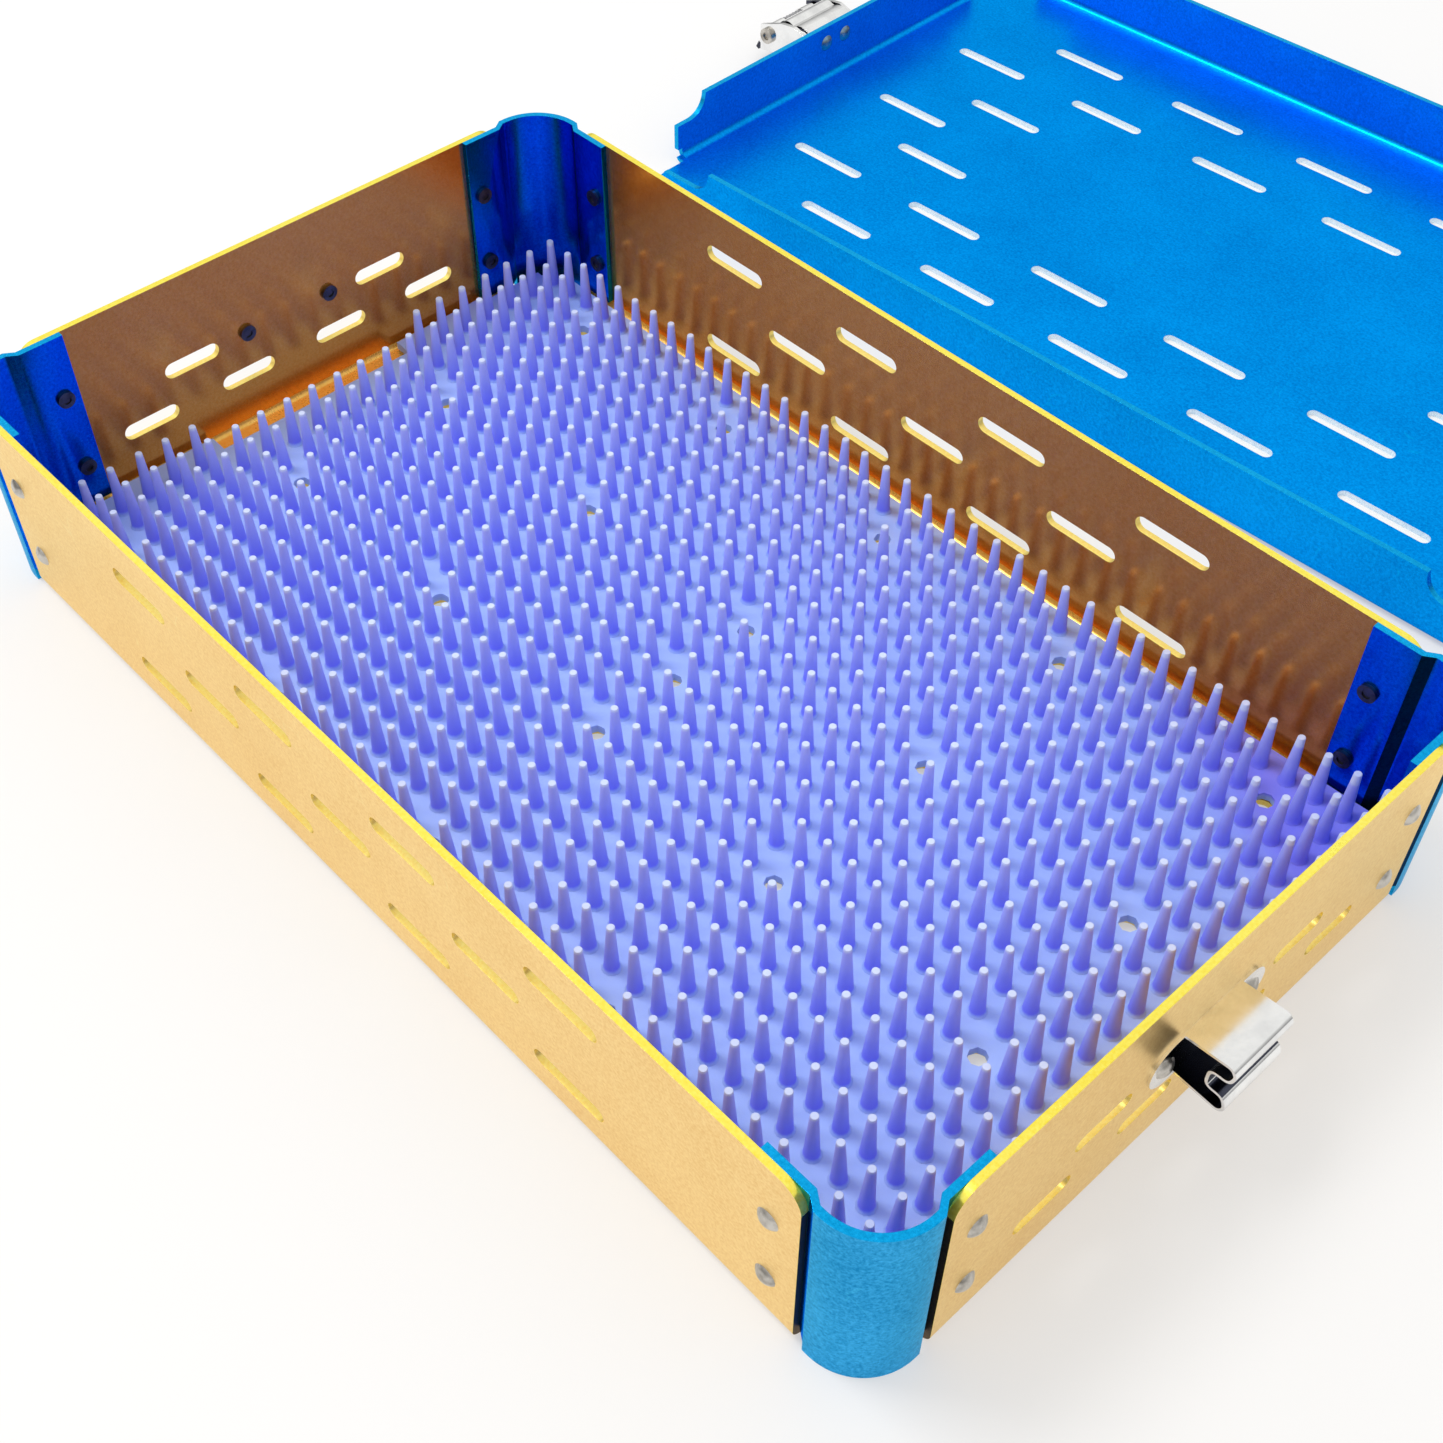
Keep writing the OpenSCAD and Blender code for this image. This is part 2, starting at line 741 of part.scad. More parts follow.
// Points of the spring's wire: a straight leg to the bracket, the turns and a short end
spring_ring_steps = 8;
function spring_points() =
    let (first = -spring_turns * spring_pitch / 2,
        last = spring_turns * spring_ring_steps + spring_ring_steps / 2)
    concat([[latch_sheet + 0.3 - pin_out, first, -spring_r], [-spring_wire, first, -spring_r]],
        [for (k = [0:last])
            let (turn = k / spring_ring_steps)
            [spring_r * sin(360 * turn), first + spring_pitch * turn,
                -spring_r * cos(360 * turn)]],
        [[-spring_wire, first + spring_pitch * last / spring_ring_steps, spring_r]]);
spring_sides = 6;
function unit(v) = v / norm(v);
// Ring of points round a wire at place k of its line
function wire_ring(line, k, r) =
    let (before = line[max(k - 1, 0)],
        after = line[min(k + 1, len(line) - 1)],
        along = unit(after - before),
        across = unit([0, 1, 0] - along.y * along),
        up = cross(along, across))
    [for (a = [0:spring_sides - 1])
        line[k] + r * (cos(360 * a / spring_sides) * across
            + sin(360 * a / spring_sides) * up)];
function wire_faces(count) = concat(
    [for (k = [0:count - 2], a = [0:spring_sides - 1])
        let (b = (a + 1) % spring_sides, low = k * spring_sides, high = low + spring_sides)
        for (face = [[low + a, high + a, high + b], [low + a, high + b, low + b]]) face],
    [for (a = [1:spring_sides - 2]) [0, a, a + 1]],
    [for (a = [1:spring_sides - 2])
        let (last = (count - 1) * spring_sides) [last, last + a + 1, last + a]]);
spring_line = spring_points();
spring_least_gap = min([for (i = [0:len(spring_line) - 1], j = [i + 4:1:len(spring_line) - 1])
    norm(spring_line[i] - spring_line[j])]) - spring_wire;
echo(spring_least_gap = spring_least_gap);

module claw_spring(side) {
    color("dimgray")
        at_latch(side)
            translate([pin_out, 0, pin_z])
                polyhedron([for (k = [0:len(spring_line) - 1])
                        for (p = wire_ring(spring_line, k, spring_wire / 2)) p],
                    wire_faces(len(spring_line)));
}

tray();
post(-1, -1);  // post_front_left
post(1, -1);  // post_front_right
post(-1, 1);  // post_back_left
post(1, 1);  // post_back_right
corner_rivets(-1, -1);  // rivets_front_left
corner_rivets(1, -1);  // rivets_front_right
corner_rivets(-1, 1);  // rivets_back_left
corner_rivets(1, 1);  // rivets_back_right
keeper(-1);  // keeper_left
keeper(1);  // keeper_right
keeper_rivets(-1);  // keeper_rivets_left
keeper_rivets(1);  // keeper_rivets_right
finger_mat();
lid();
latch_bracket(-1);  // latch_bracket_left
latch_bracket(1);  // latch_bracket_right
latch_rivets(-1);  // latch_rivets_left
latch_rivets(1);  // latch_rivets_right
latch_pin(-1);  // latch_pin_left
latch_pin(1);  // latch_pin_right
claw_lever(-1);  // claw_lever_left
claw_lever(1);  // claw_lever_right
claw_spring(-1);  // claw_spring_left
claw_spring(1);  // claw_spring_right
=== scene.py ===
import bpy, bmesh, math
from mathutils import Matrix, Vector, noise
from mathutils.bvhtree import BVHTree


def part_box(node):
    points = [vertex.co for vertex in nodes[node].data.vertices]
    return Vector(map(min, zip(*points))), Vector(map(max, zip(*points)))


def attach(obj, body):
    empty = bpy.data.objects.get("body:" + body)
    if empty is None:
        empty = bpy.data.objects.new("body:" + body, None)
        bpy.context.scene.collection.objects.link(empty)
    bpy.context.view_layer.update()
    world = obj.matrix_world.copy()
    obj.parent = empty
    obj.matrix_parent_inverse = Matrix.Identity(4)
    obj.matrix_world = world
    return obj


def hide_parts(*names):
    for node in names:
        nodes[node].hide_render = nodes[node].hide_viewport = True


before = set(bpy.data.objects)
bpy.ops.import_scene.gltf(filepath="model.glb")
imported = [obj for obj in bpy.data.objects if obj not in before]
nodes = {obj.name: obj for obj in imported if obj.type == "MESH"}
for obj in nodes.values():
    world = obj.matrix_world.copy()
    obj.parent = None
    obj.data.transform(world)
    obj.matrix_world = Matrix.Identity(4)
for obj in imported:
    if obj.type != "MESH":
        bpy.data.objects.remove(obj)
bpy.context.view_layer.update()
mm = 0.001
print("frame loaded:", len(nodes), "nodes")

# camera: the photograph is 1443 pixels wide and its focal length is 1883.5 pixels
cameraView = {
    "place": (0.203474, -0.176134, 0.296139),
    "turn": (41.3598, -0.1808, 46.9306),
    "photoWidth": 1443,
    "focalPixels": 1883.52,
    "sensor": 36.0,
    "clipStart": 0.01, "clipEnd": 20,
}


def makeCamera(v):
    data = bpy.data.cameras.new("photoCamera")
    data.sensor_width = v["sensor"]
    data.lens = v["focalPixels"] * v["sensor"] / v["photoWidth"]
    data.clip_start = v["clipStart"]
    data.clip_end = v["clipEnd"]
    data.dof.use_dof = False
    cam = bpy.data.objects.new("photoCamera", data)
    cam.location = v["place"]
    cam.rotation_euler = [math.radians(a) for a in v["turn"]]
    bpy.context.scene.collection.objects.link(cam)
    bpy.context.scene.camera = cam


makeCamera(cameraView)
bpy.context.scene.view_settings.view_transform = "Standard"

# node helpers
bumpDepth = 0.2 * mm


def newMaterial(name):
    mat = bpy.data.materials.new(name)
    mat.use_nodes = True
    tree = mat.node_tree
    return mat, tree, tree.nodes["Principled BSDF"]


def addNode(tree, kind, place=(0, 0), **values):
    node = tree.nodes.new(kind)
    node.location = place
    for key, value in values.items():
        if key in node.inputs:
            node.inputs[key].default_value = value
        else:
            setattr(node, key, value)
    return node


def colorRamp(tree, factor, stops, place=(0, 0)):
    node = addNode(tree, "ShaderNodeValToRGB", place)
    ramp = node.color_ramp
    while len(ramp.elements) < len(stops):
        ramp.elements.new(0.5)
    for element, (position, color) in zip(ramp.elements, stops):
        element.position = position
        element.color = (*color, 1)
    tree.links.new(factor, node.inputs["Fac"])
    return node.outputs["Color"]


def mixColor(tree, factor, a, b, blend="MIX"):
    node = tree.nodes.new("ShaderNodeMix")
    node.data_type = "RGBA"
    node.blend_type = blend
    for socket, value in ((node.inputs[0], factor), (node.inputs[6], a), (node.inputs[7], b)):
        if isinstance(value, bpy.types.NodeSocket):
            tree.links.new(value, socket)
        else:
            socket.default_value = (*value, 1)
    return node.outputs[2]


def mathNode(tree, operation, a, b=0.0, clamp=False):
    node = tree.nodes.new("ShaderNodeMath")
    node.operation = operation
    node.use_clamp = clamp
    for socket, value in ((node.inputs[0], a), (node.inputs[1], b)):
        if isinstance(value, bpy.types.NodeSocket):
            tree.links.new(value, socket)
        else:
            socket.default_value = value
    return node.outputs[0]


def newGroup(name, inputs, outputs):
    tree = bpy.data.node_groups.new(name, "ShaderNodeTree")
    for socketName, kind, value in inputs:
        socket = tree.interface.new_socket(socketName, in_out="INPUT", socket_type=kind)
        if value is not None:
            socket.default_value = value
    for socketName, kind in outputs:
        tree.interface.new_socket(socketName, in_out="OUTPUT", socket_type=kind)
    return tree, tree.nodes.new("NodeGroupInput"), tree.nodes.new("NodeGroupOutput")


def placeGroup(tree, group, place=(0, 0), **values):
    node = tree.nodes.new("ShaderNodeGroup")
    node.node_tree = group
    node.location = place
    for key, value in values.items():
        node.inputs[key].default_value = value
    return node


def stretched(tree, vector, scale):
    node = addNode(tree, "ShaderNodeMapping")
    node.inputs["Scale"].default_value = scale
    tree.links.new(vector, node.inputs["Vector"])
    return node.outputs["Vector"]


def noiseOf(tree, vector, scale, detail=2.0):
    node = addNode(tree, "ShaderNodeTexNoise", Scale=scale, Detail=detail, Roughness=0.5)
    tree.links.new(vector, node.inputs["Vector"])
    return node.outputs["Fac"]


def fineBump(tree, height, strength, shader):
    bump = addNode(tree, "ShaderNodeBump", (-200, -200), Strength=strength, Distance=bumpDepth)
    tree.links.new(height, bump.inputs["Height"])
    tree.links.new(bump.outputs["Normal"], shader.inputs["Normal"])


# shared effects: each puts out only masks and values
grainLook = {
    "grainScale": 1500.0, "grainDetail": 3.0, "grainRoughness": 0.7,
    "cloudScale": 26.0, "cloudDetail": 4.0, "cloudRoughness": 0.6,
}
handlingLook = {
    "scratchAmount": 0.35, "lineScale": 60.0, "lineStretch": (1.0, 0.25, 0.6), "lineWidth": 0.006,
    "bendScale": 30.0, "bendAmount": 0.05, "patchScale": 80.0, "patchLimit": 0.62,
    "smudgeScale": 34.0, "smudgeDetail": 5.0, "smudgeRoughness": 0.65,
}


def makeBlastGrain(v):
    tree, source, result = newGroup("blastGrain", [
        ("Vector", "NodeSocketVector", None),
        ("Grain Scale", "NodeSocketFloat", v["grainScale"]),
        ("Cloud Scale", "NodeSocketFloat", v["cloudScale"])],
        [("Grain", "NodeSocketFloat"), ("Cloud", "NodeSocketFloat")])
    grain = addNode(tree, "ShaderNodeTexNoise", Detail=v["grainDetail"],
        Roughness=v["grainRoughness"])
    cloud = addNode(tree, "ShaderNodeTexNoise", Detail=v["cloudDetail"],
        Roughness=v["cloudRoughness"])
    for node, scale in ((grain, "Grain Scale"), (cloud, "Cloud Scale")):
        tree.links.new(source.outputs["Vector"], node.inputs["Vector"])
        tree.links.new(source.outputs[scale], node.inputs["Scale"])
    tree.links.new(grain.outputs["Fac"], result.inputs["Grain"])
    tree.links.new(cloud.outputs["Fac"], result.inputs["Cloud"])
    return tree


def makeHandling(v):
    tree, source, result = newGroup("handling", [
        ("Vector", "NodeSocketVector", None),
        ("Scratch Amount", "NodeSocketFloat", v["scratchAmount"]),
        ("Smudge Scale", "NodeSocketFloat", v["smudgeScale"])],
        [("Scratches", "NodeSocketFloat"), ("Smudges", "NodeSocketFloat")])
    lines = addNode(tree, "ShaderNodeTexVoronoi", feature="DISTANCE_TO_EDGE", Scale=v["lineScale"])
    bent = addNode(tree, "ShaderNodeTexNoise", Scale=v["bendScale"], Detail=2.0)
    shift = addNode(tree, "ShaderNodeVectorMath", operation="SCALE", Scale=v["bendAmount"])
    total = addNode(tree, "ShaderNodeVectorMath", operation="ADD")
    tree.links.new(source.outputs["Vector"], bent.inputs["Vector"])
    tree.links.new(bent.outputs["Color"], shift.inputs[0])
    tree.links.new(source.outputs["Vector"], total.inputs[0])
    tree.links.new(shift.outputs["Vector"], total.inputs[1])
    flat = stretched(tree, total.outputs["Vector"], v["lineStretch"])
    tree.links.new(flat, lines.inputs["Vector"])
    thin = mathNode(tree, "LESS_THAN", lines.outputs["Distance"], v["lineWidth"])
    patches = noiseOf(tree, source.outputs["Vector"], v["patchScale"])
    where = mathNode(tree, "GREATER_THAN", patches, v["patchLimit"])
    some = mathNode(tree, "MULTIPLY", thin, where)
    amount = mathNode(tree, "MULTIPLY", some, source.outputs["Scratch Amount"])
    smudge = addNode(tree, "ShaderNodeTexNoise", Detail=v["smudgeDetail"],
        Roughness=v["smudgeRoughness"])
    tree.links.new(source.outputs["Vector"], smudge.inputs["Vector"])
    tree.links.new(source.outputs["Smudge Scale"], smudge.inputs["Scale"])
    tree.links.new(amount, result.inputs["Scratches"])
    tree.links.new(smudge.outputs["Fac"], result.inputs["Smudges"])
    return tree


blastGrain = makeBlastGrain(grainLook)
handling = makeHandling(handlingLook)

# anodised sheet: gold for the tray, blue for the posts and the lid
anodised = {
    "grainShare": 0.7, "cloudShare": 0.3, "lowTone": 0.36, "highTone": 0.62, "scratches": 0.2,
    "smudgeRough": 0.16, "grainRough": 0.05, "roughDrop": 0.08,
}
goldSheet = {
    "name": "goldAnodised",
    "colorLow": (0.86, 0.56, 0.22),
    "colorHigh": (1.0, 0.74, 0.36),
    "tint": (1.0, 0.95, 0.75),
    "roughness": 0.30, "grainBump": 0.05, "metallic": 1.0,
}
# the tray's inner faces: a darker orange copy of the gold, painted shade
goldInsideShade = {
    "name": "goldAnodisedInsideShade",
    "colorLow": (0.84, 0.31, 0.045),
    "colorHigh": (0.96, 0.42, 0.085),
    "tint": (1.0, 0.7, 0.4), "scratches": 0.05,
    "roughness": 0.18, "grainBump": 0.04, "metallic": 0.88,
}
goldCut = {
    "name": "goldCutEdge",
    "colorLow": (0.93, 0.74, 0.06),
    "colorHigh": (1.0, 0.90, 0.16),
    "tint": (1.0, 0.95, 0.6),
    "roughness": 0.22, "grainBump": 0.02, "metallic": 0.7,
}
goldSlot = {
    "name": "goldSlotFace",
    "colorLow": (0.96, 0.68, 0.14),
    "colorHigh": (1.0, 0.82, 0.26),
    "tint": (1.0, 0.9, 0.6),
    "roughness": 0.3, "grainBump": 0.02, "metallic": 0.6,
}
# the upward faces inside the tray: a brighter copy of the gold than the inner walls, painted light
goldFloorLit = {
    "name": "goldTrayFloorLit",
    "colorLow": (0.95, 0.50, 0.08),
    "colorHigh": (1.0, 0.64, 0.16),
    "tint": (1.0, 0.8, 0.4), "scratches": 0.05,
    "roughness": 0.25, "grainBump": 0.03, "metallic": 0.45,
}
# the cut faces where the walls end by the posts: near black, painted shade
goldRecessShade = {
    "name": "goldWallEndShade",
    "colorLow": (0.05, 0.03, 0.015),
    "colorHigh": (0.12, 0.07, 0.03),
    "tint": (1.0, 0.9, 0.8),
    "roughness": 0.4, "grainBump": 0.02, "metallic": 0.9,
}
lidSheet = {
    "name": "blueAnodisedLid",
    "colorLow": (0.0, 0.22, 0.70),
    "colorHigh": (0.002, 0.37, 1.0),
    "tint": (0.2, 0.75, 1.0),
    "roughness": 0.32, "grainBump": 0.07, "metallic": 1.0,
}
postSheet = {
    "name": "blueAnodisedPost",
    "colorLow": (0.008, 0.21, 0.50),
    "colorHigh": (0.07, 0.46, 0.86),
    "tint": (0.5, 0.9, 1.0),
    "roughness": 0.30, "grainBump": 0.07, "metallic": 1.0,
}
# the posts' inner faces: a darker copy of the blue, painted shade
postInsideShade = {
    "name": "blueAnodisedInsideShade",
    "colorLow": (0.0, 0.09, 0.58),
    "colorHigh": (0.002, 0.20, 0.84),
    "tint": (0.1, 0.5, 1.0),
    "roughness": 0.22, "grainBump": 0.05, "metallic": 1.0,
}
blueCut = {
    "name": "blueCutEdge",
    "colorLow": (0.0, 0.28, 0.62),
    "colorHigh": (0.005, 0.42, 0.86),
    "tint": (0.3, 0.9, 1.0),
    "roughness": 0.24, "grainBump": 0.02, "metallic": 0.8,
}
# the faces in the lid's slots: pale, a painted reflection of the table
lidSlotReflection = {
    "name": "lidSlotReflection",
    "colorLow": (0.55, 0.74, 0.90),
    "colorHigh": (0.85, 0.93, 1.0),
    "tint": (0.9, 0.95, 1.0),
    "roughness": 0.3, "grainBump": 0.02, "metallic": 0.6,
}
# the posts' band beside the wall ends: near black, painted shade
blueRecessShade = {
    "name": "blueStepShade",
    "colorLow": (0.0, 0.012, 0.03),
    "colorHigh": (0.0, 0.035, 0.07),
    "tint": (0.2, 0.6, 1.0),
    "roughness": 0.4, "grainBump": 0.02, "metallic": 0.9,
}


def makeAnodised(v, w=anodised):
    mat, tree, shader = newMaterial(v["name"])
    coords = addNode(tree, "ShaderNodeTexCoord", (-900, 0)).outputs["Object"]
    grain = placeGroup(tree, blastGrain, (-700, 100))
    worn = placeGroup(tree, handling, (-700, -150),
        **{"Scratch Amount": v.get("scratches", w["scratches"])})
    tree.links.new(coords, grain.inputs["Vector"])
    tree.links.new(coords, worn.inputs["Vector"])
    tone = mathNode(tree, "ADD",
        mathNode(tree, "MULTIPLY", grain.outputs["Grain"], w["grainShare"]),
        mathNode(tree, "MULTIPLY", grain.outputs["Cloud"], w["cloudShare"]))
    color = colorRamp(tree, tone, [(w["lowTone"], v["colorLow"]), (w["highTone"], v["colorHigh"])],
        (-400, 100))
    pale = mixColor(tree, worn.outputs["Scratches"], color, v["colorHigh"], "SCREEN")
    tree.links.new(pale, shader.inputs["Base Color"])
    shine = mathNode(tree, "MULTIPLY_ADD", worn.outputs["Smudges"], w["smudgeRough"])
    shine.node.inputs[2].default_value = v["roughness"] - w["roughDrop"]
    matt = mathNode(tree, "MULTIPLY", grain.outputs["Grain"], w["grainRough"])
    rough = mathNode(tree, "ADD", shine, matt)
    tree.links.new(rough, shader.inputs["Roughness"])
    shader.inputs["Metallic"].default_value = v["metallic"]
    shader.inputs["Specular Tint"].default_value = (*v["tint"], 1)
    fineBump(tree, grain.outputs["Grain"], v["grainBump"], shader)
    return mat


goldSkins = [makeAnodised(v) for v in (goldSheet, goldCut, goldInsideShade, goldRecessShade,
    goldSlot, goldFloorLit)]
postSkins = [makeAnodised(v) for v in (postSheet, blueCut, postInsideShade, blueRecessShade)]
lidSkins = [makeAnodised(lidSheet), postSkins[1], makeAnodised(lidSlotReflection)]

# bright metal: polished sheet of the catches, rivets and the spring wire
brightMetal = {
    "smudgeScale": 160.0, "rolledScale": 1.0, "rolledDetail": 3.0,
    "rolledShare": 0.4, "smudgeShare": 0.6, "lowTone": 0.32, "highTone": 0.56,
    "smudgeRough": 0.22, "roughDrop": 0.08, "leastRough": 0.04,
}
polishedSheet = {"name": "polishedSheet", "dark": (0.70, 0.70, 0.70), "bright": (0.90, 0.90, 0.89),
    "roughness": 0.10, "streaks": (30.0, 60.0, 60.0), "bump": 0.006}
# cut faces: rougher sheared edges, and a darker tone that is painted shade
polishedCutShade = {"name": "polishedCutShade", "dark": (0.62, 0.62, 0.63), "bright": (0.88, 0.88, 0.89),
    "roughness": 0.18, "streaks": (300.0, 300.0, 300.0), "bump": 0.02}
# inner faces of the catches and latches: near black, painted shade
polishedInsideShade = {"name": "polishedInsideShade", "dark": (0.015, 0.017, 0.03), "bright": (0.06, 0.065, 0.09),
    "roughness": 0.16, "streaks": (60.0, 60.0, 60.0), "bump": 0.01}
# the formed ends inside the tray are multiplied by a dark colour: painted shade
rivetMetal = {"name": "rivetMetal", "dark": (0.22, 0.20, 0.17), "bright": (0.62, 0.59, 0.54),
    "roughness": 0.30, "streaks": (600.0, 600.0, 600.0), "bump": 0.2,
    "tailShade": (0.16, 0.17, 0.20), "reach": (134.5 * mm, 80 * mm)}
# the latch rivets: dark blue-grey, painted shade and a painted reflection of the blue lid
latchRivetShade = {"name": "latchRivetShade", "dark": (0.06, 0.11, 0.17), "bright": (0.28, 0.40, 0.52),
    "roughness": 0.24, "streaks": (600.0, 600.0, 600.0), "bump": 0.2}
springWire = {"name": "springWire", "dark": (0.30, 0.30, 0.31), "bright": (0.58, 0.58, 0.60),
    "roughness": 0.28, "streaks": (900.0, 300.0, 900.0), "bump": 0.08}


def insideTray(tree, coords, reach):
    # 1 within the tray's outer faces, where the formed ends of the rivets are
    split = addNode(tree, "ShaderNodeSeparateXYZ")
    tree.links.new(coords, split.inputs[0])
    inX, inY = [mathNode(tree, "LESS_THAN", mathNode(tree, "ABSOLUTE", split.outputs[axis]), far)
        for axis, far in zip("XY", reach)]
    return mathNode(tree, "MULTIPLY", inX, inY)


def makeBrightMetal(v, w=brightMetal):
    mat, tree, shader = newMaterial(v["name"])
    coords = addNode(tree, "ShaderNodeTexCoord", (-900, 0)).outputs["Object"]
    worn = placeGroup(tree, handling, (-700, -150), **{"Smudge Scale": w["smudgeScale"]})
    tree.links.new(coords, worn.inputs["Vector"])
    rolled = noiseOf(tree, stretched(tree, coords, v["streaks"]), w["rolledScale"],
        w["rolledDetail"])
    tone = mathNode(tree, "ADD", mathNode(tree, "MULTIPLY", rolled, w["rolledShare"]),
        mathNode(tree, "MULTIPLY", worn.outputs["Smudges"], w["smudgeShare"]))
    color = colorRamp(tree, tone, [(w["lowTone"], v["dark"]), (w["highTone"], v["bright"])],
        (-400, 100))
    # painted shade: the formed ends inside the tray are darker
    if "tailShade" in v:
        color = mixColor(tree, insideTray(tree, coords, v["reach"]), color, v["tailShade"], "MULTIPLY")
    tree.links.new(color, shader.inputs["Base Color"])
    rough = mathNode(tree, "MULTIPLY_ADD", worn.outputs["Smudges"], w["smudgeRough"])
    rough.node.inputs[2].default_value = v["roughness"] - w["roughDrop"]
    tree.links.new(mathNode(tree, "MAXIMUM", rough, w["leastRough"]), shader.inputs["Roughness"])
    shader.inputs["Metallic"].default_value = 1.0
    fineBump(tree, mathNode(tree, "ADD", rolled, worn.outputs["Scratches"]), v["bump"], shader)
    return mat


chromeSkins = [makeBrightMetal(v) for v in (polishedSheet, polishedCutShade, polishedInsideShade)]
rivetBright = makeBrightMetal(rivetMetal)
latchRivetShaded = makeBrightMetal(latchRivetShade)
wireBright = makeBrightMetal(springWire)

# silicone of the mat: the tips and the backing are paler than the fingers' roots, as painted shade at
# the roots and painted light on the backing and the tips
silicone = {
    "backing": (0.40, 0.56, 0.98),
    "root": (0.22, 0.23, 0.94),
    "shaft": (0.40, 0.45, 0.98),
    "tip": (0.60, 0.70, 1.0),
    "radius": (1.0, 1.0, 1.0), "scale": 0.001, "weight": 0.2,
    "rootHeight": 3.55 * mm, "tipHeight": 16.5 * mm,
    "backingEnd": 0.02, "rootStart": 0.08, "shaftStart": 0.55, "shaftEnd": 0.93, "tipStart": 0.985,
    "cloud": (0.45, 0.48, 0.97), "cloudScale": 45.0, "cloudDetail": 3.0, "cloudShare": 0.12,
    "roughness": 0.42, "roughSpread": 0.18, "roughScale": 900.0,
    "bump": 0.12, "bumpScale": 2200.0,
}


def makeSilicone(v):
    mat, tree, shader = newMaterial("silicone")
    coords = addNode(tree, "ShaderNodeTexCoord", (-1100, 0)).outputs["Object"]
    split = addNode(tree, "ShaderNodeSeparateXYZ", (-900, 0))
    tree.links.new(coords, split.inputs[0])
    height = addNode(tree, "ShaderNodeMapRange", (-700, 0))
    height.inputs["From Min"].default_value = v["rootHeight"]
    height.inputs["From Max"].default_value = v["tipHeight"]
    tree.links.new(split.outputs["Z"], height.inputs["Value"])
    # the ramp by height paints shade at the roots and light on the backing and the tips
    color = colorRamp(tree, height.outputs["Result"], [
        (0.0, v["backing"]), (v["backingEnd"], v["backing"]), (v["rootStart"], v["root"]),
        (v["shaftStart"], v["shaft"]), (v["shaftEnd"], v["shaft"]), (v["tipStart"], v["tip"])],
        (-500, 0))
    cloud = noiseOf(tree, coords, v["cloudScale"], v["cloudDetail"])
    varied = mixColor(tree, mathNode(tree, "MULTIPLY", cloud, v["cloudShare"]), color, v["cloud"])
    tree.links.new(varied, shader.inputs["Base Color"])
    shader.inputs["Subsurface Weight"].default_value = v["weight"]
    shader.inputs["Subsurface Radius"].default_value = v["radius"]
    shader.inputs["Subsurface Scale"].default_value = v["scale"]
    rough = mathNode(tree, "MULTIPLY_ADD", noiseOf(tree, coords, v["roughScale"]), v["roughSpread"])
    rough.node.inputs[2].default_value = v["roughness"]
    tree.links.new(rough, shader.inputs["Roughness"])
    fineBump(tree, noiseOf(tree, coords, v["bumpScale"]), v["bump"], shader)
    return mat


siliconeSkin = makeSilicone(silicone)
print("materials made")

# sheet parts: a copy of the frame's solid with eased edges; each face gets the material of its zone,
# and several zones carry painted shade and painted light
outsideZone, cutZone, paintedLightZone, recessShadeZone, slotZone, floorLitZone = range(6)
sheetZones = {
    "floorHeight": 4 * mm, "floorSlope": 0.2,
    "rimDepth": 9 * mm, "recessStart": 13.3 * mm, "recessEnd": 16.4 * mm, "cornerMargin": 2 * mm,
    "catchHalf": 8.2 * mm, "catchMiddle": 5.6 * mm, "catchHeight": 26 * mm, "catchStart": 1.2 * mm,
    "lidRimHeight": 3 * mm, "lidRimX": 128 * mm, "lidRimY": 74 * mm,
    "latchLow": 6 * mm, "latchInward": 5 * mm, "latchSlope": 0.5,
}

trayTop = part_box("tray")[1]
latchMiddles = [sum(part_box("latch_pin_" + side), Vector()) / 2 for side in ("left", "right")]
lidMiddle = (latchMiddles[0].x + latchMiddles[1].x) / 2
lidPlace = (latchMiddles[0] + latchMiddles[1]) / 2
lidTurn = math.atan2(latchMiddles[1].y - latchMiddles[0].y, latchMiddles[1].x - latchMiddles[0].x)


def facesIn(c, n):
    return Vector((c.x, c.y)).dot(Vector((n.x, n.y))) < 0


# low upward faces get the brighter floor copy (painted light), inner faces the darker inner copy
# (painted shade), and cut faces by the posts below the rim the near-black copy (painted shade)
def trayZone(c, n, isCut, v=sheetZones):
    if n.z > v["floorSlope"] and c.z < v["floorHeight"]:
        return floorLitZone
    if not isCut:
        return paintedLightZone if facesIn(c, n) else outsideZone
    if c.z > trayTop.z - v["rimDepth"]:
        return cutZone
    run = max(trayTop.x - abs(c.x), trayTop.y - abs(c.y))
    return recessShadeZone if run < v["recessEnd"] + v["cornerMargin"] else slotZone


# inner faces get the darker copy (painted shade), and outer faces in the band beside the wall ends the
# near-black copy (painted shade)
def postZone(c, n, isCut, v=sheetZones):
    if isCut:
        return cutZone
    run = max(trayTop.x - abs(c.x), trayTop.y - abs(c.y))
    if facesIn(c, n):
        return paintedLightZone
    return recessShadeZone if v["recessStart"] < run < v["recessEnd"] else outsideZone


# the inner faces of the catch get the near-black chrome: painted shade
def keeperZone(c, n, isCut, v=sheetZones):
    if isCut:
        return cutZone
    middle = Vector((math.copysign(trayTop.x + v["catchMiddle"], c.x), c.y, v["catchHeight"]))
    inCatch = abs(c.y) < v["catchHalf"] and abs(c.x) > trayTop.x + v["catchStart"]
    return paintedLightZone if inCatch and (middle - c).dot(n) > 0 else outsideZone


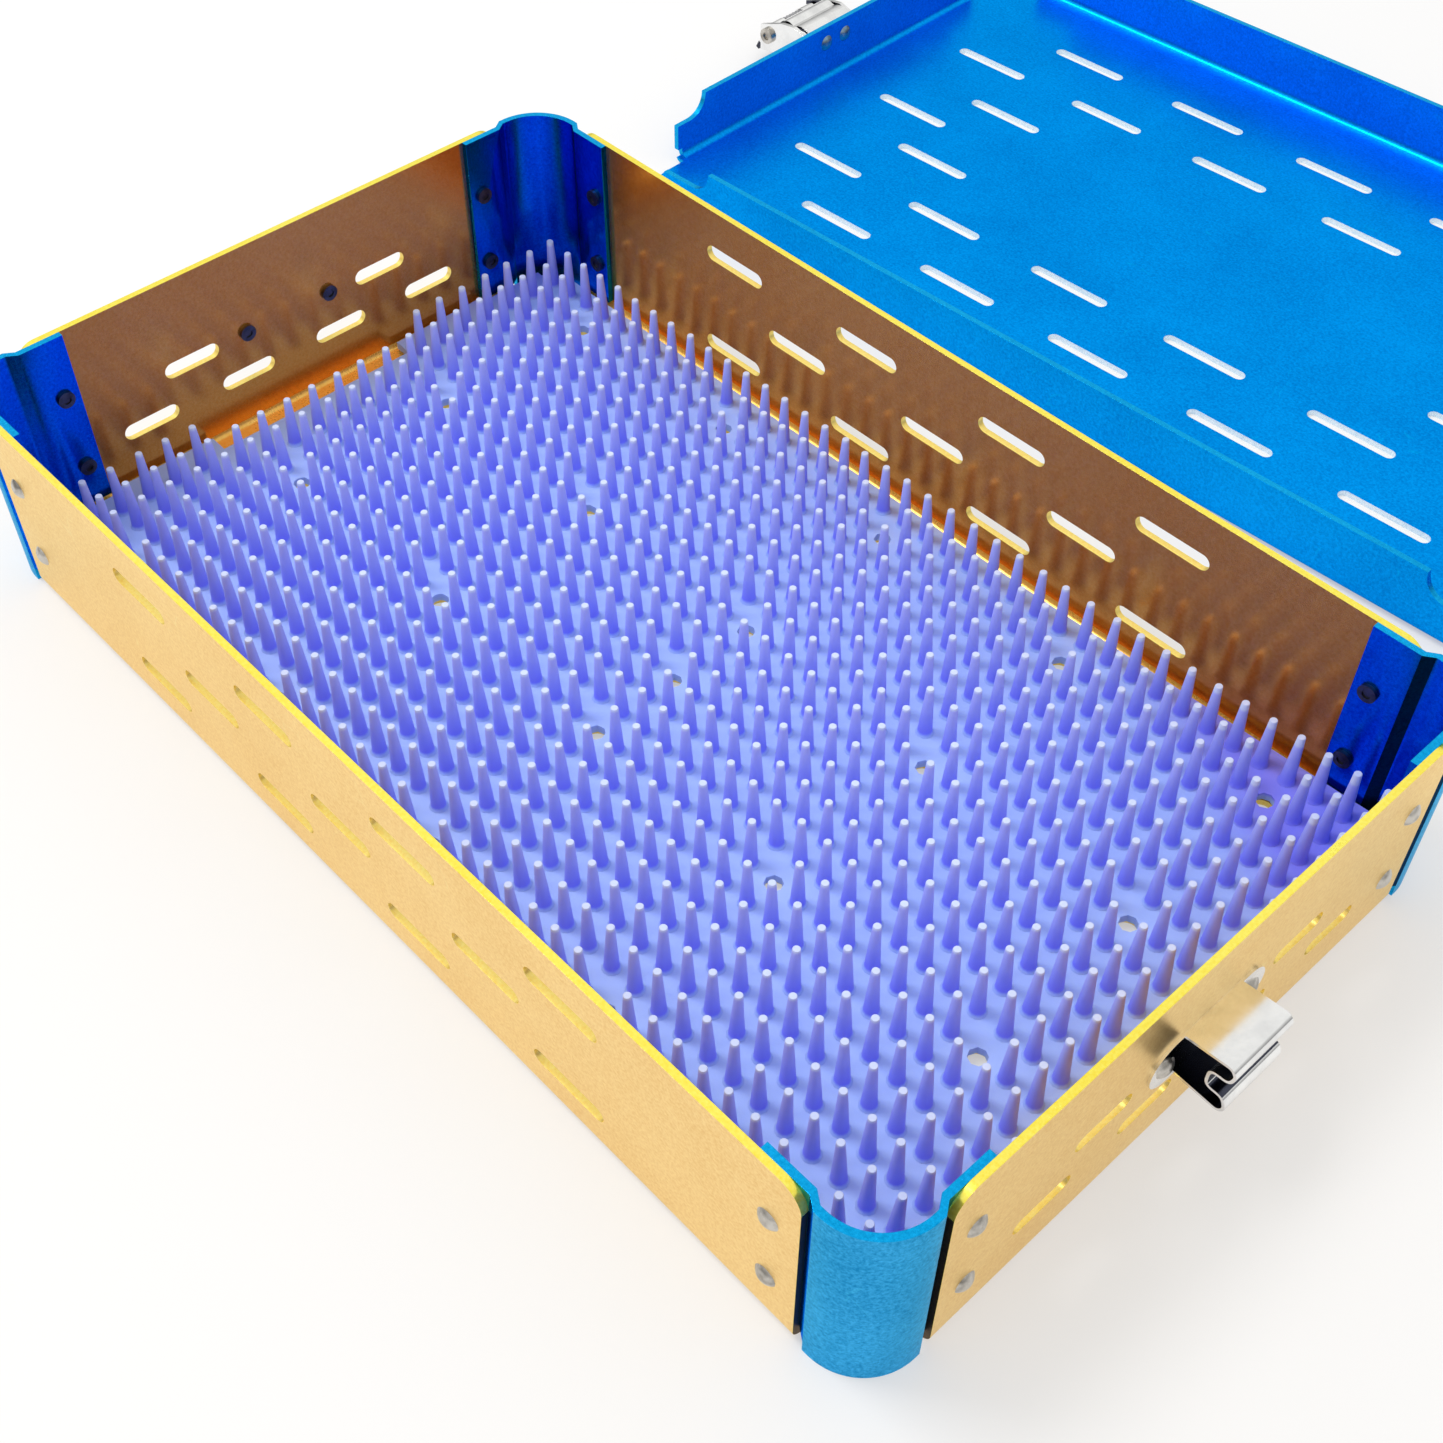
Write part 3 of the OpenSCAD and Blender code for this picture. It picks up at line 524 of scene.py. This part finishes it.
def lidZone(c, n, isCut, v=sheetZones):
    # the rims are paler than the panel, and the faces in its slots are painted pale: a painted
    # reflection of the table
    if not isCut:
        return outsideZone
    flat = Matrix.Rotation(-lidTurn, 2) @ Vector((c.x - lidPlace.x, c.y - lidPlace.y))
    onRim = c.z > v["lidRimHeight"] or abs(flat.x) > v["lidRimX"] or abs(flat.y) > v["lidRimY"]
    return cutZone if onRim else paintedLightZone


def latchZone(c, n, isCut, v=sheetZones):
    # the plates' inner faces and low parts are painted near black: painted shade inside the latch
    inward = (latchMiddles[c.x > lidMiddle] - c).dot(n)
    facesLatch = inward > v["latchInward"] and n.z < v["latchSlope"]
    return paintedLightZone if c.z < v["latchLow"] or facesLatch else outsideZone


# of each sheet: how thick it is, and how far its edges are eased
traySheet = (1.5 * mm, 0.2 * mm)
blueSheet = (1.5 * mm, 0.13 * mm)
keeperSheet = (0.6 * mm, 0.06 * mm)
latchSheet = (1.2 * mm, 0.12 * mm)
easedSheets = {
    "tray": ("tray_group", traySheet, goldSkins, trayZone, "gold_anodised"),
    "lid": ("lid_group", blueSheet, lidSkins, lidZone, "blue_anodised"),
}
for corner in ("front_left", "front_right", "back_left", "back_right"):
    easedSheets["post_" + corner] = ("tray_group", blueSheet, postSkins, postZone, "blue_anodised")
for side in ("left", "right"):
    easedSheets["keeper_" + side] = ("tray_group", keeperSheet, chromeSkins, keeperZone, "chrome")
    easedSheets["latch_bracket_" + side] = ("lid_group", latchSheet, chromeSkins, latchZone,
        "chrome")
    easedSheets["claw_lever_" + side] = ("lever_" + side, latchSheet, chromeSkins, latchZone,
        "chrome")
easing = {
    "merge": 0.002 * mm, "rayStart": 0.02 * mm, "thickest": 1.5,
    "flatAngle": 1, "smoothAngle": 32, "easeAngle": 40, "segments": 2,
}


def finishMesh(name, bm, materials):
    mesh = bpy.data.meshes.new(name)
    bm.to_mesh(mesh)
    bm.free()
    for mat in materials:
        mesh.materials.append(mat)
    piece = bpy.data.objects.new(name, mesh)
    bpy.context.scene.collection.objects.link(piece)
    return piece


def easeSheet(node, body, sheet, skins, zone, slot, v=easing):
    # a ray into each face finds the cut faces: the sheet is thicker along them than through it
    thickness, ease = sheet
    bm = bmesh.new()
    bm.from_mesh(nodes[node].data)
    bmesh.ops.remove_doubles(bm, verts=bm.verts, dist=v["merge"])
    tree = BVHTree.FromBMesh(bm)
    for face in bm.faces:
        centre = face.calc_center_median()
        depth = tree.ray_cast(centre - face.normal * v["rayStart"], -face.normal)[3]
        isCut = depth is None or depth > thickness * v["thickest"]
        face.material_index = zone(centre, face.normal, isCut)
    bmesh.ops.dissolve_limit(bm, angle_limit=math.radians(v["flatAngle"]), verts=bm.verts,
        edges=bm.edges, delimit={"MATERIAL"})
    for face in bm.faces:
        face.smooth = True
    piece = finishMesh("eased_" + node, bm, skins)
    piece.data.set_sharp_from_angle(angle=math.radians(v["smoothAngle"]))
    bevel = piece.modifiers.new("ease", "BEVEL")
    bevel.width = ease
    bevel.segments = v["segments"]
    bevel.limit_method = "ANGLE"
    bevel.angle_limit = math.radians(v["easeAngle"])
    bevel.harden_normals = True
    bevel.material = cutZone if slot == "gold_anodised" else -1
    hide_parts(node)
    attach(piece, body)


for node, values in easedSheets.items():
    easeSheet(node, *values)
print("sheet parts eased")


def dress(prefix, mat):
    for name, obj in nodes.items():
        if name.startswith(prefix):
            obj.data.materials.clear()
            obj.data.materials.append(mat)


for prefix in ("rivets_", "keeper_rivets_", "latch_pin_"):
    dress(prefix, rivetBright)
dress("latch_rivets_", latchRivetShaded)
dress("claw_spring_", wireBright)

# the mat: fingers on a regular lattice, drains and finger grips
matShape = {
    "columns": 19, "rows": 10,
    "stepX": 52.53 / 8 * mm, "stepY": 7.1 * mm,
    "shiftX": 0.5 * mm, "shiftY": 0.8 * mm,
    "drainColumns": 8, "drainRows": 6, "drainRadius": 2.0 * mm,
    "backing": 2 * mm,
    "gripHalf": 26.5 * mm, "gripDepth": 4 * mm, "cornerRadius": 7.7 * mm,
    "reliefX": 1.35 * mm, "reliefY": 54 * mm,
    "rootRadius": 1.6 * mm, "tipRadius": 0.82 * mm, "fingerHeight": 13 * mm,
    "flare": 0.45 * mm, "sink": 0.1 * mm, "tipEase": 0.12 * mm, "tipShare": 0.88, "sides": 12,
    "cells": 1.64 * mm, "smoothAngle": 45,
    "gripMargin": 0.1 * mm, "reliefMargin": 0.4 * mm, "cornerMargin": 0.5 * mm,
    "drainMargin": 0.75 * mm, "drainReach": 2,
    "lean": 0.5 * mm, "leanPower": 1.4, "leanSteps": (0.73, 0.91, 4.2), "seed": 5,
    "endLift": 1.3 * mm, "endStart": 0.86, "frontShare": 0.25,
    "cornerLift": 3.0 * mm, "cornerStart": 1.25, "cornerPower": 1.5,
    "merge": 0.001 * mm, "flat": 0.01 * mm,
}
# a finger's foot, in shares of its flare and of its root's radius
fingerFlare = {"shoulder": 0.25, "shoulderHeight": 0.7, "neck": 0.97, "neckHeight": 2.2}


def isDrain(i, j, v):
    if i == 0 and j == 0:
        return True
    return i % v["drainColumns"] == 0 and abs(j) in (v["drainRows"] // 2, v["drainRows"] * 3 // 2)


def isFinger(i, j, v):
    return not isDrain(i, j, v) and not (abs(i) == v["columns"]
        and abs(j * v["stepY"] + v["shiftY"]) < v["gripHalf"] + v["rootRadius"])


def makeFingerField(v, w, top):
    bm = bmesh.new()
    root, tip, flare, h = v["rootRadius"], v["tipRadius"], v["flare"], v["fingerHeight"]
    profile = [
        (root + flare, -v["sink"]),
        (root + flare * w["shoulder"], flare * w["shoulderHeight"]),
        (root * w["neck"], flare * w["neckHeight"]),
        ((root + tip) / 2, h / 2),
        (tip, h - v["tipEase"]),
        (tip * v["tipShare"], h)]
    rim = [bm.verts.new((r, 0, z)) for r, z in profile]
    edges = [bm.edges.new(pair) for pair in zip(rim, rim[1:])]
    bmesh.ops.spin(bm, geom=rim + edges, cent=(0, 0, 0), axis=(0, 0, 1), angle=2 * math.pi,
        steps=v["sides"], use_merge=True)
    bmesh.ops.remove_doubles(bm, verts=bm.verts, dist=v["merge"])
    topEdges = [e for e in bm.edges if all(abs(p.co.z - h) < v["flat"] for p in e.verts)]
    bmesh.ops.contextual_create(bm, geom=topEdges)
    bmesh.ops.recalc_face_normals(bm, faces=bm.faces)
    bmesh.ops.translate(bm, verts=bm.verts, vec=(-v["columns"] * v["stepX"] + v["shiftX"],
        -v["rows"] * v["stepY"] + v["shiftY"], top))
    field = finishMesh("fingerField", bm, ())
    for name, count, offset in (("along", 2 * v["columns"] + 1, (v["stepX"], 0, 0)),
            ("across", 2 * v["rows"] + 1, (0, v["stepY"], 0))):
        array = field.modifiers.new(name, "ARRAY")
        array.count = count
        array.use_relative_offset = False
        array.use_constant_offset = True
        array.constant_offset_displace = offset
    graph = bpy.context.evaluated_depsgraph_get()
    mesh = bpy.data.meshes.new_from_object(field.evaluated_get(graph))
    bpy.data.objects.remove(field)
    return mesh


def latticeCell(co, v):
    return (round((co.x - v["shiftX"]) / v["stepX"]), round((co.y - v["shiftY"]) / v["stepY"]))


def matLift(x, y, v, half):
    # the mat has curled a little at its far right corner and along its left end
    left = max(0.0, -x / half.x - v["endStart"]) / (1 - v["endStart"])
    back = max(0.0, y / half.y)
    corner = max(0.0, x / half.x + y / half.y - v["cornerStart"]) / (2 - v["cornerStart"])
    endRise = left ** 2 * (v["frontShare"] + (1 - v["frontShare"]) * back ** 2)
    return v["endLift"] * endRise + v["cornerLift"] * corner ** v["cornerPower"]


def nearest(co, places):
    return min(places, key=lambda p: (p - co).length)


def isWaste(co, half, near, v):
    # outside the outline, which has a grip in each end and round corners, or inside a drain
    x, y = abs(co.x), abs(co.y)
    inGrip = x > half.x - v["gripDepth"] + v["gripMargin"] and y < v["gripHalf"] - v["gripMargin"]
    inRelief = x > half.x - v["reliefX"] + v["reliefMargin"] and y > v["reliefY"]
    out = Vector((x - half.x + v["reliefX"], y - half.y)) + Vector((1, 1)) * v["cornerRadius"]
    inCorner = min(out) > 0 and out.length > v["cornerRadius"] + v["cornerMargin"]
    inDrain = (near - co).length < v["drainRadius"] - v["drainMargin"]
    return inGrip or inRelief or inCorner or inDrain


def makeBacking(v, half, top):
    bm = bmesh.new()
    bmesh.ops.create_grid(bm, x_segments=round(2 * half.x / v["cells"]),
        y_segments=round(2 * half.y / v["cells"]), size=1)
    bmesh.ops.scale(bm, verts=bm.verts, vec=(half.x, half.y, 1))
    bmesh.ops.translate(bm, verts=bm.verts, vec=(0, 0, top))
    drains = [Vector((i * v["stepX"] + v["shiftX"], j * v["stepY"] + v["shiftY"], top))
        for i in range(-v["columns"], v["columns"] + 1) for j in range(-v["rows"], v["rows"] + 1)
        if isDrain(i, j, v)]
    waste = [p for p in bm.verts if isWaste(p.co, half, nearest(p.co, drains), v)]
    bmesh.ops.delete(bm, geom=waste, context="VERTS")
    for vert in [p for p in bm.verts if p.is_boundary]:
        near = nearest(vert.co, drains)
        if (near - vert.co).length < v["drainRadius"] * v["drainReach"]:
            vert.co = near + (vert.co - near).normalized() * v["drainRadius"]
    bmesh.ops.solidify(bm, geom=bm.faces, thickness=v["backing"])
    bmesh.ops.recalc_face_normals(bm, faces=bm.faces)
    return bm


def makeMat(v, w):
    low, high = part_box("finger_mat")
    half = (high - low) / 2
    top = low.z + v["backing"]
    field = makeFingerField(v, w, top)
    bm = makeBacking(v, half, top)
    backingCount = len(bm.verts)
    bm.from_mesh(field)
    bm.verts.ensure_lookup_table()
    fingers = bm.verts[backingCount:]
    spare = [p for p in fingers if not isFinger(*latticeCell(p.co, v), v)]
    bmesh.ops.delete(bm, geom=spare, context="VERTS")
    stepX, stepY, level = v["leanSteps"]
    noise.seed_set(v["seed"])
    for vert in bm.verts:
        rise = max(0.0, vert.co.z - top) / v["fingerHeight"]
        if rise > 0:
            i, j = latticeCell(vert.co, v)
            sway = noise.noise_vector((i * stepX, j * stepY, level))
            sway = sway * v["lean"] * rise ** v["leanPower"]
            vert.co += Vector((sway.x, sway.y, 0))
        vert.co.z += matLift(vert.co.x, vert.co.y, v, half)
    for face in bm.faces:
        face.smooth = True
    piece = finishMesh("siliconeMat", bm, (siliconeSkin,))
    piece.data.set_sharp_from_angle(angle=math.radians(v["smoothAngle"]))
    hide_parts("finger_mat")
    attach(piece, "mat")


makeMat(matShape, fingerFlare)
print("mat made")

# floor, sky and key lamp
studio = {
    "floorHalf": 4, "floorColor": (0.87, 0.865, 0.855),
    "floorRoughness": 0.9, "floorSpecular": 0.1,
    "floorGlow": 0.45, "glowColor": (0.955, 0.95, 0.955, 1),
    "skyLow": (0.34, 0.34, 0.34), "skyHigh": (0.93, 0.93, 0.92), "skyStart": 0.08, "skyEnd": 0.5,
    "keyPower": 8.5, "keySize": 0.5, "keyPlace": (-0.58, -0.32, 1.3),
}


def makeStudio(v):
    bm = bmesh.new()
    bmesh.ops.create_grid(bm, x_segments=1, y_segments=1, size=v["floorHalf"])
    floor = finishMesh("floor", bm, ())
    mat, tree, shader = newMaterial("floorSurface")
    floor.data.materials.append(mat)
    shader.inputs["Base Color"].default_value = (*v["floorColor"], 1)
    shader.inputs["Roughness"].default_value = v["floorRoughness"]
    shader.inputs["Specular IOR Level"].default_value = v["floorSpecular"]
    glow = addNode(tree, "ShaderNodeEmission", Strength=1.0)
    glow.inputs["Color"].default_value = v["glowColor"]
    path = addNode(tree, "ShaderNodeLightPath")
    seen = mathNode(tree, "ADD", path.outputs["Is Camera Ray"], path.outputs["Is Glossy Ray"])
    seen = mathNode(tree, "ADD", seen, path.outputs["Is Transmission Ray"], True)
    part = mathNode(tree, "MULTIPLY", seen, v["floorGlow"])
    mix = addNode(tree, "ShaderNodeMixShader")
    tree.links.new(part, mix.inputs[0])
    tree.links.new(shader.outputs[0], mix.inputs[1])
    tree.links.new(glow.outputs[0], mix.inputs[2])
    tree.links.new(mix.outputs[0], tree.nodes["Material Output"].inputs["Surface"])
    world = bpy.data.worlds.new("studio")
    bpy.context.scene.world = world
    world.use_nodes = True
    tree = world.node_tree
    sky = tree.nodes["Background"]
    split = addNode(tree, "ShaderNodeSeparateXYZ")
    tree.links.new(addNode(tree, "ShaderNodeTexCoord").outputs["Generated"], split.inputs[0])
    color = colorRamp(tree, split.outputs["Z"], [(v["skyStart"], v["skyLow"]),
        (v["skyEnd"], v["skyHigh"])])
    tree.links.new(color, sky.inputs["Color"])
    data = bpy.data.lights.new("key", "AREA")
    data.energy = v["keyPower"]
    data.size = v["keySize"]
    lamp = bpy.data.objects.new("key", data)
    lamp.location = v["keyPlace"]
    lamp.rotation_euler = (-Vector(v["keyPlace"])).to_track_quat("-Z", "Y").to_euler()
    bpy.context.scene.collection.objects.link(lamp)


makeStudio(studio)
print("studio made")
